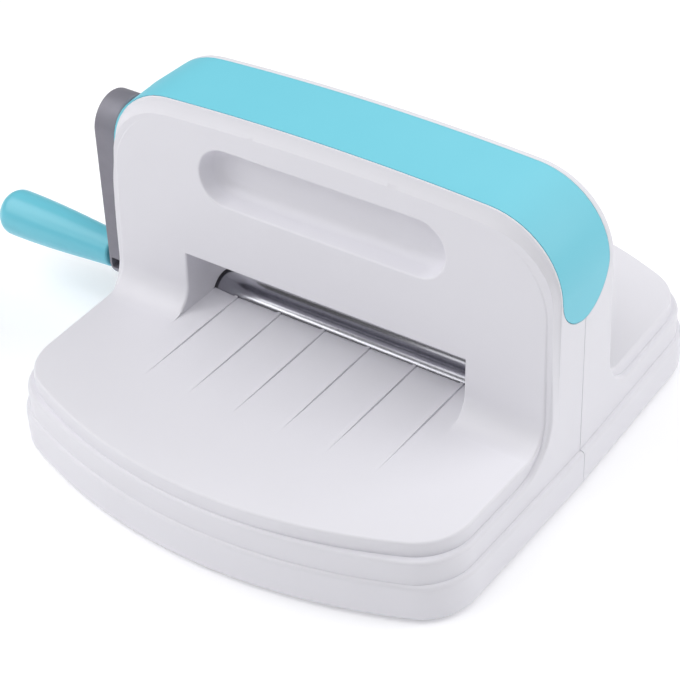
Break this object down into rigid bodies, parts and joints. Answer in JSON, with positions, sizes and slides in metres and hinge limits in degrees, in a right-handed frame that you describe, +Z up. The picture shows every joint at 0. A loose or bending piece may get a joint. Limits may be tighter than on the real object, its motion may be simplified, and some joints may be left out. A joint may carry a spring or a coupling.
{
  "type": "die cutting machine",
  "caption": "Hand cranked die cutting machine: white two-part casing, teal cover, feed slot with geared steel rollers, side crank.",
  "frame": {"origin": "centre of the bounding box, on the surface that the feet stand on", "axes": "+X across the feed slot, away from the crank; +Y along the feed, from front deck to rear deck; +Z up"},
  "size_m": [0.3544, 0.286, 0.161],
  "materials": {
    "white_moulding": "fine matt texture",
    "teal_moulding": "satin moulding",
    "grey_casting": "grey satin paint",
    "polished_steel": "turned and polished",
    "zinc_plate": "zinc plated",
    "sintered_bronze": "sintered",
    "gear_steel": "dark sintered steel",
    "dark_moulding": "matt",
    "black_rubber": "matt rubber"
  },
  "bodies": {
    "machine": {"front_housing": "white_moulding", "rear_housing": "white_moulding", "top_cover": "teal_moulding", "base_plate": "zinc_plate", "foot_1": "black_rubber", "foot_2": "black_rubber", "foot_3": "black_rubber", "foot_4": "black_rubber", "base_screw_1": "zinc_plate", "base_screw_2": "zinc_plate", "base_screw_3": "zinc_plate", "base_screw_4": "zinc_plate", "frame_screw_1": "zinc_plate", "frame_screw_2": "zinc_plate", "frame_screw_3": "zinc_plate", "frame_screw_4": "zinc_plate", "side_plate_left": "zinc_plate", "side_plate_right": "zinc_plate", "gear_plate": "zinc_plate", "gear_spacer_1": "zinc_plate", "gear_spacer_2": "zinc_plate", "gear_spacer_3": "zinc_plate", "gear_spacer_4": "zinc_plate", "tie_rod_1": "zinc_plate", "tie_rod_2": "zinc_plate", "tie_rod_3": "zinc_plate", "tie_rod_4": "zinc_plate", "lower_bush_left": "sintered_bronze", "lower_bush_right": "sintered_bronze", "upper_bush_left": "sintered_bronze", "upper_bush_right": "sintered_bronze", "crank_bush_inner": "sintered_bronze", "crank_bush_outer": "sintered_bronze", "idler_axle": "polished_steel", "idler_sleeve": "dark_moulding"},
    "crank": {"crank_shaft": "polished_steel", "crank_pinion": "gear_steel", "crank_clip": "gear_steel", "crank_collar": "dark_moulding", "crank_arm": "grey_casting", "crank_screw": "zinc_plate", "knob_axle": "polished_steel", "knob_washer": "dark_moulding"},
    "knob": {"crank_knob": "teal_moulding"},
    "idler": {"idler_gear": "gear_steel"},
    "upper_roller_set": {"upper_roller": "polished_steel", "upper_roller_gear": "gear_steel", "drive_gear": "gear_steel", "upper_roller_clip": "gear_steel"},
    "lower_roller_set": {"lower_roller": "polished_steel", "lower_roller_gear": "gear_steel", "lower_roller_clip": "gear_steel"}
  },
  "joints": [
    {"name": "crank_spin", "type": "hinge", "parent": "machine", "child": "crank", "pos_m": [-0.0874, -0.0015, 0.119], "axis": [1, 0, 0], "continuous": true},
    {"name": "knob_spin", "type": "hinge", "parent": "crank", "child": "knob", "pos_m": [-0.1374, -0.0075, 0.0407], "axis": [1, 0, 0], "continuous": true},
    {"name": "idler_spin", "type": "hinge", "parent": "machine", "child": "idler", "pos_m": [-0.0644, -0.0015, 0.095], "axis": [1, 0, 0], "continuous": true},
    {"name": "upper_roller_spin", "type": "hinge", "parent": "machine", "child": "upper_roller_set", "pos_m": [0.0486, -0.0015, 0.071], "axis": [1, 0, 0], "continuous": true},
    {"name": "lower_roller_spin", "type": "hinge", "parent": "machine", "child": "lower_roller_set", "pos_m": [0.0486, -0.0015, 0.038], "axis": [1, 0, 0], "continuous": true}
  ],
  "couplings": [
    {"joint": "idler_spin", "follows": "crank_spin", "ratio": -0.5},
    {"joint": "upper_roller_spin", "follows": "crank_spin", "ratio": 0.33333},
    {"joint": "lower_roller_spin", "follows": "crank_spin", "ratio": -0.33333}
  ]
}
